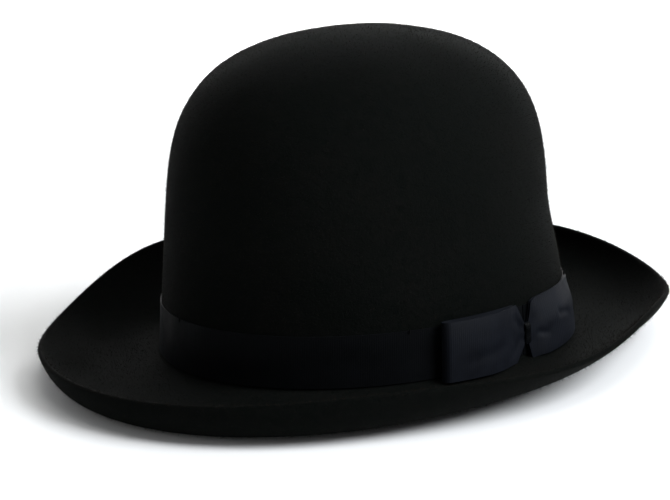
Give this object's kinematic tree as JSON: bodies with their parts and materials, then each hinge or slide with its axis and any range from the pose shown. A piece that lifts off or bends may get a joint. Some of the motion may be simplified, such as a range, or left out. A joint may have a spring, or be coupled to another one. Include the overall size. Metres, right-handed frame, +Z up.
{
  "type": "bowler hat",
  "caption": "Stiff felt hat with a tall rounded crown, a narrow brim curled up all round, a ribbon band with a flat side bow, and a lined head opening with a leather sweatband.",
  "frame": {"origin": "centre of the bounding box in plan, on the surface the brim lies on", "axes": "+Z up through the crown, -Y towards the wearer's front, +X towards the wearer's left, where the bow is"},
  "size_m": [0.2882, 0.3168, 0.1528],
  "materials": {
    "wool_felt": "matte short-napped felt",
    "grosgrain": "ribbed ribbon, low sheen",
    "black_thread": "matte thread",
    "sweatband_leather": "smooth, low sheen",
    "reed_cord": "matte",
    "tape_cotton": "matte woven tape",
    "lining_satin": "satin sheen",
    "label_cloth": "matte woven label"
  },
  "bodies": {
    "root": {"felt_hood": "wool_felt", "hat_band": "grosgrain", "band_tacks": "black_thread", "bow_loops": "grosgrain", "bow_knot": "grosgrain", "sweatband": "sweatband_leather", "reed": "reed_cord", "reed_tape": "tape_cotton", "lining_side": "lining_satin", "lining_tip": "lining_satin", "sweatband_bow": "tape_cotton", "size_label": "label_cloth"}
  },
  "joints": []
}
